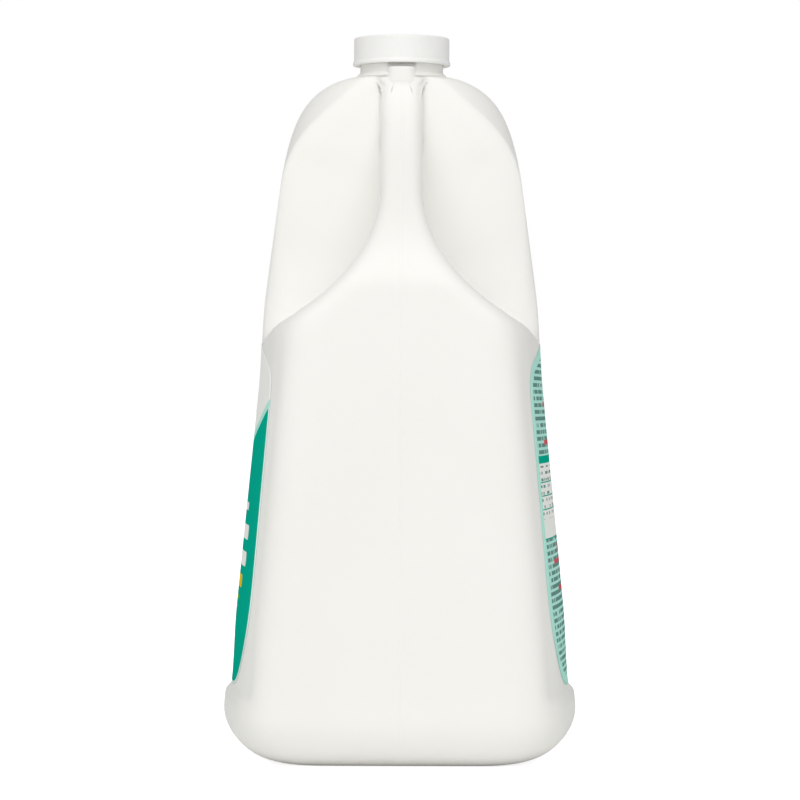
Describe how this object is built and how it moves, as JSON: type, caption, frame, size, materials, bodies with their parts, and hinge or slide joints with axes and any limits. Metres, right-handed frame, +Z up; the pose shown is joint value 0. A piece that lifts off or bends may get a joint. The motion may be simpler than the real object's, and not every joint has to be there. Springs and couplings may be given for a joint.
{
  "type": "jug of household cleaner",
  "caption": "Shut white plastic jug of all-purpose cleaner, with a slanted handle that leaves a gap for the hand, a low round cap and printed front and back labels.",
  "frame": {"origin": "middle of the foot, on the floor", "axes": "+Z up, the front label faces -Y and the handle is on the +X side"},
  "size_m": [0.2119, 0.15, 0.304],
  "materials": {
    "jug_plastic": "satin",
    "cap_plastic": "satin",
    "front_print": "gloss",
    "back_print": "gloss"
  },
  "bodies": {
    "root": {"jug_body": "jug_plastic", "cap": "cap_plastic", "front_label": "front_print", "back_label": "back_print"}
  },
  "joints": []
}
